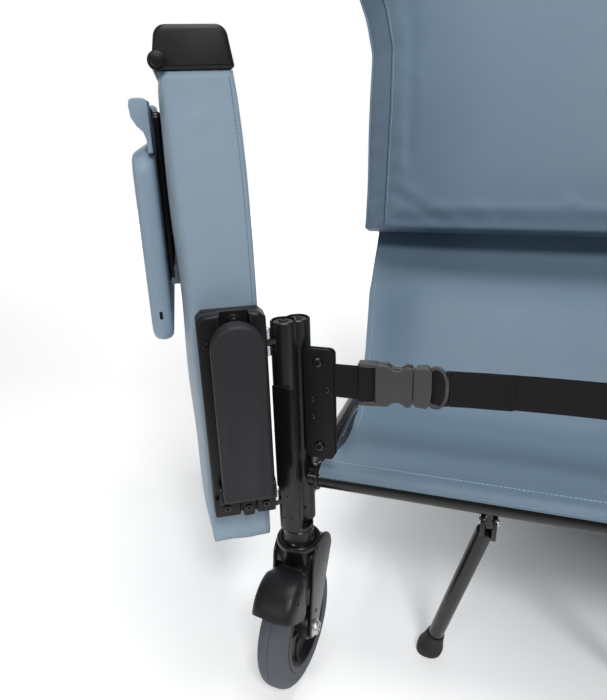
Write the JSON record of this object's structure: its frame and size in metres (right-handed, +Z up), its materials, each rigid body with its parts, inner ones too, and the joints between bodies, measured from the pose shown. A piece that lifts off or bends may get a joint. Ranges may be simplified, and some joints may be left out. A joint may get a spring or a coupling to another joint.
{
  "type": "medical recliner",
  "caption": "Blue-grey padded clinical recliner on casters with swing-away arms, folding side trays, sling seat, lap strap, prop legs and a gas-spring reclining back.",
  "frame": {"origin": "on the floor, in the middle of the chair's footprint with its arms as pictured", "axes": "+Z up, the sitter faces -Y, the sitter's right arm is at -X"},
  "size_m": [1.215, 0.9776, 1.1991],
  "materials": {
    "vinyl": "blue-grey grained vinyl",
    "dark_vinyl": "dark vinyl",
    "steel": "gloss black powder coat",
    "plastic": "black moulded plastic",
    "arm_cap": "soft black urethane",
    "tray": "moulded blue-grey plastic",
    "webbing": "ribbed black webbing",
    "tyre": "slate-grey tyre",
    "rubber": "black rubber",
    "zinc": "bright zinc",
    "board": "black back board"
  },
  "bodies": {
    "base": {"front_seat_tube": "steel", "rear_cross_tube": "steel", "seat_sling": "vinyl", "right_belt": "webbing", "left_belt": "webbing", "buckle_socket": "plastic", "buckle_plug": "plastic", "right_front_post": "steel", "right_side_rail": "steel", "right_rear_post": "steel", "right_belt_plate": "steel", "right_sling_tab": "dark_vinyl", "right_recline_bracket": "steel", "left_front_post": "steel", "left_side_rail": "steel", "left_rear_post": "steel", "left_belt_plate": "steel", "left_sling_tab": "dark_vinyl", "left_recline_bracket": "steel"},
    "back": {"right_back_upright": "steel", "left_back_upright": "steel", "recline_cross_tube": "steel", "back_lower_tube": "steel", "back_board": "board", "back_cushion": "vinyl", "back_sling": "vinyl", "push_handle": "steel"},
    "release_lever": {"release_lever": "plastic"},
    "gas_cylinder": {"gas_spring_cylinder": "steel"},
    "gas_rod": {"gas_spring_rod": "zinc"},
    "right_arm": {"right_arm_panel": "vinyl", "right_arm_cap": "arm_cap", "right_hinge_housing": "plastic", "right_tray_bracket": "steel"},
    "right_paddle": {"right_release_paddle": "plastic"},
    "right_tray": {"right_tray": "tray"},
    "right_prop": {"right_prop_leg": "steel", "right_prop_tip": "rubber"},
    "right_front_fork": {"right_front_fork": "steel", "right_front_fender": "plastic"},
    "right_front_wheel": {"right_front_hub": "plastic", "right_front_tyre": "tyre"},
    "right_rear_fork": {"right_rear_fork": "steel"},
    "right_rear_wheel": {"right_rear_hub": "plastic", "right_rear_tyre": "tyre"},
    "left_arm": {"left_arm_panel": "vinyl", "left_arm_cap": "arm_cap", "left_hinge_housing": "plastic", "left_tray_bracket": "steel"},
    "left_paddle": {"left_release_paddle": "plastic"},
    "left_tray": {"left_tray": "tray"},
    "left_prop": {"left_prop_leg": "steel", "left_prop_tip": "rubber"},
    "left_front_fork": {"left_front_fork": "steel", "left_front_fender": "plastic"},
    "left_front_wheel": {"left_front_hub": "plastic", "left_front_tyre": "tyre"},
    "left_rear_fork": {"left_rear_fork": "steel"},
    "left_rear_wheel": {"left_rear_hub": "plastic", "left_rear_tyre": "tyre"}
  },
  "joints": [
    {"name": "back_recline", "type": "hinge", "parent": "base", "child": "back", "pos_m": [0, -0.09009, 0.2278], "axis": [-1, 0, 0], "range_deg": [0, 35]},
    {"name": "recline_release", "type": "hinge", "parent": "back", "child": "release_lever", "pos_m": [0.125, 0.46943, 1.09651], "axis": [0, 0.9563, -0.2924], "range_deg": [0, 10], "stiffness_Nm_per_rad": 0.5, "springref_deg": -11.46},
    {"name": "gas_spring_tilt", "type": "hinge", "parent": "base", "child": "gas_cylinder", "pos_m": [0, 0.28991, 0.1728], "axis": [-1, 0, 0], "range_deg": [-0.2, 1.4]},
    {"name": "gas_spring_stroke", "type": "slide", "parent": "gas_cylinder", "child": "gas_rod", "axis": [0, -0.9871, -0.1602], "range_m": [-0.001, 0.0712]},
    {"name": "right_arm_swing", "type": "hinge", "parent": "base", "child": "right_arm", "pos_m": [-0.3055, -0.41809, 0.36], "axis": [0, 0, 1], "range_deg": [-30, 45]},
    {"name": "right_paddle_release", "type": "hinge", "parent": "right_arm", "child": "right_paddle", "pos_m": [-0.31952, -0.45881, 0.2913], "axis": [0.866, 0.5, 0], "range_deg": [0, 12], "stiffness_Nm_per_rad": 1, "springref_deg": -11.46},
    {"name": "right_tray_fold", "type": "hinge", "parent": "right_arm", "child": "right_tray", "pos_m": [-0.50922, -0.26343, 0.6708], "axis": [-0.5, 0.866, 0], "range_deg": [0, 90]},
    {"name": "right_prop_fold", "type": "hinge", "parent": "base", "child": "right_prop", "pos_m": [-0.075, -0.39009, 0.2556], "axis": [1, 0, 0], "range_deg": [0, 55]},
    {"name": "right_front_swivel", "type": "hinge", "parent": "base", "child": "right_front_fork", "pos_m": [-0.29, -0.39009, 0.229], "axis": [0, 0, 1], "continuous": true},
    {"name": "right_front_roll", "type": "hinge", "parent": "right_front_fork", "child": "right_front_wheel", "pos_m": [-0.29192, -0.41201, 0.0762], "axis": [0.9962, -0.0872, 0], "continuous": true},
    {"name": "right_rear_swivel", "type": "hinge", "parent": "base", "child": "right_rear_fork", "pos_m": [-0.29, 0.30991, 0.229], "axis": [0, 0, 1], "continuous": true},
    {"name": "right_rear_roll", "type": "hinge", "parent": "right_rear_fork", "child": "right_rear_wheel", "pos_m": [-0.29192, 0.28799, 0.0762], "axis": [0.9962, -0.0872, 0], "continuous": true},
    {"name": "left_arm_swing", "type": "hinge", "parent": "base", "child": "left_arm", "pos_m": [0.3055, -0.41809, 0.36], "axis": [0, 0, 1], "range_deg": [-45, 30]},
    {"name": "left_paddle_release", "type": "hinge", "parent": "left_arm", "child": "left_paddle", "pos_m": [0.31952, -0.45881, 0.2913], "axis": [0.866, -0.5, 0], "range_deg": [0, 12], "stiffness_Nm_per_rad": 1, "springref_deg": -11.46},
    {"name": "left_tray_fold", "type": "hinge", "parent": "left_arm", "child": "left_tray", "pos_m": [0.50922, -0.26343, 0.6708], "axis": [-0.5, -0.866, 0], "range_deg": [0, 90]},
    {"name": "left_prop_fold", "type": "hinge", "parent": "base", "child": "left_prop", "pos_m": [0.075, -0.39009, 0.2556], "axis": [1, 0, 0], "range_deg": [0, 55]},
    {"name": "left_front_swivel", "type": "hinge", "parent": "base", "child": "left_front_fork", "pos_m": [0.29, -0.39009, 0.229], "axis": [0, 0, 1], "continuous": true},
    {"name": "left_front_roll", "type": "hinge", "parent": "left_front_fork", "child": "left_front_wheel", "pos_m": [0.29192, -0.41201, 0.0762], "axis": [0.9962, 0.0872, 0], "continuous": true},
    {"name": "left_rear_swivel", "type": "hinge", "parent": "base", "child": "left_rear_fork", "pos_m": [0.29, 0.30991, 0.229], "axis": [0, 0, 1], "continuous": true},
    {"name": "left_rear_roll", "type": "hinge", "parent": "left_rear_fork", "child": "left_rear_wheel", "pos_m": [0.29192, 0.28799, 0.0762], "axis": [0.9962, 0.0872, 0], "continuous": true}
  ],
  "couplings": [
    {"joint": "gas_spring_tilt", "follows": "back_recline", "ratio": 0.03},
    {"joint": "gas_spring_stroke", "follows": "back_recline", "m_per_rad": 0.11335}
  ]
}
